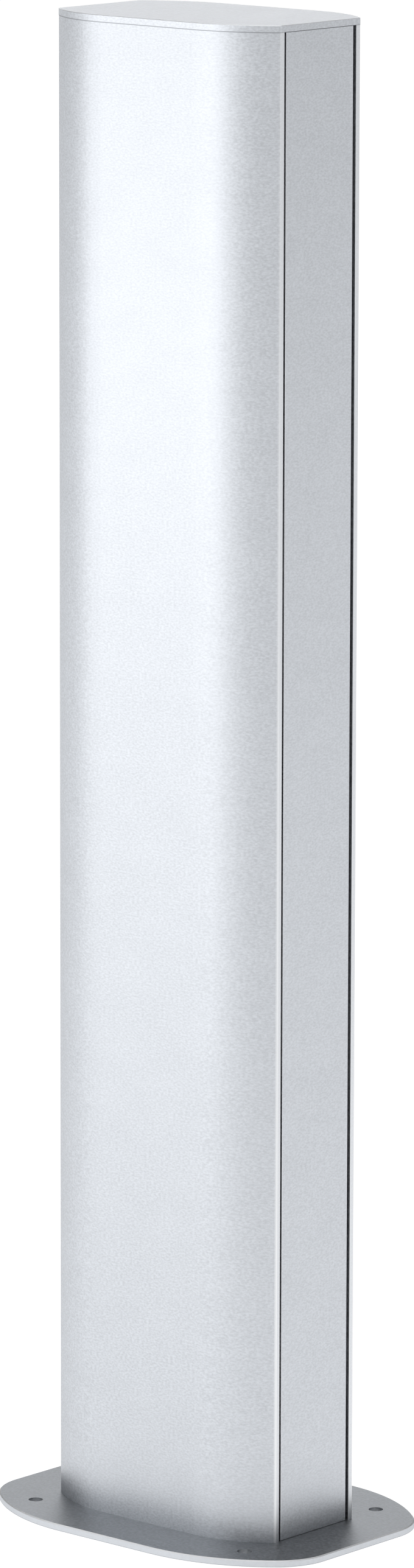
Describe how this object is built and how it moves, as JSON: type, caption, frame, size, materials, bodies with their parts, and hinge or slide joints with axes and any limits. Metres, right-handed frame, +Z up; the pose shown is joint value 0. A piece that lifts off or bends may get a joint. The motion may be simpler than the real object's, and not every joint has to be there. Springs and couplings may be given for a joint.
{
  "type": "service pole",
  "caption": "Short floor-standing aluminium service pole: bowed double-channel column with full-length snap-in side lids, flat cap and screw-down base plate.",
  "frame": {"origin": "centre of the base plate's underside, on the floor", "axes": "+Z up the column; X from one lidded opening to the other; the bowed walls face -Y and +Y"},
  "size_m": [0.1846, 0.1362, 0.675],
  "materials": {
    "anodised_aluminium": "satin anodised, fine brushed",
    "brushed_aluminium_plate": "brushed, bright edge",
    "black_plastic": "matt moulded",
    "grey_plastic": "matt moulded",
    "zinc_steel": "zinc plated",
    "brass": "plain"
  },
  "bodies": {
    "pole": {"column_profile": "anodised_aluminium", "base_plate": "brushed_aluminium_plate", "foot_screws": "zinc_steel", "right_entry_frame": "black_plastic", "left_entry_frame": "black_plastic", "front_right_snap_strip": "black_plastic", "front_left_snap_strip": "black_plastic", "back_right_snap_strip": "black_plastic", "back_left_snap_strip": "black_plastic", "right_cable_retainers": "grey_plastic", "left_cable_retainers": "grey_plastic", "earth_bolt": "zinc_steel", "earth_lock_washer": "zinc_steel", "earth_saddle": "brass", "earth_nut": "zinc_steel"},
    "cap": {"cap_plate": "anodised_aluminium", "cap_studs": "zinc_steel", "cap_washers": "zinc_steel", "cap_nuts": "zinc_steel", "right_cap_plug": "black_plastic", "left_cap_plug": "black_plastic"},
    "right_lid": {"right_lid": "anodised_aluminium"},
    "left_lid": {"left_lid": "anodised_aluminium"}
  },
  "joints": [
    {"name": "right_lid_pull", "type": "slide", "parent": "pole", "child": "right_lid", "axis": [1, 0, 0], "range_m": [0, 0.03]},
    {"name": "left_lid_pull", "type": "slide", "parent": "pole", "child": "left_lid", "axis": [-1, 0, 0], "range_m": [0, 0.03]},
    {"name": "cap_lift", "type": "slide", "parent": "pole", "child": "cap", "axis": [0, 0, 1], "range_m": [0, 0.03]}
  ]
}
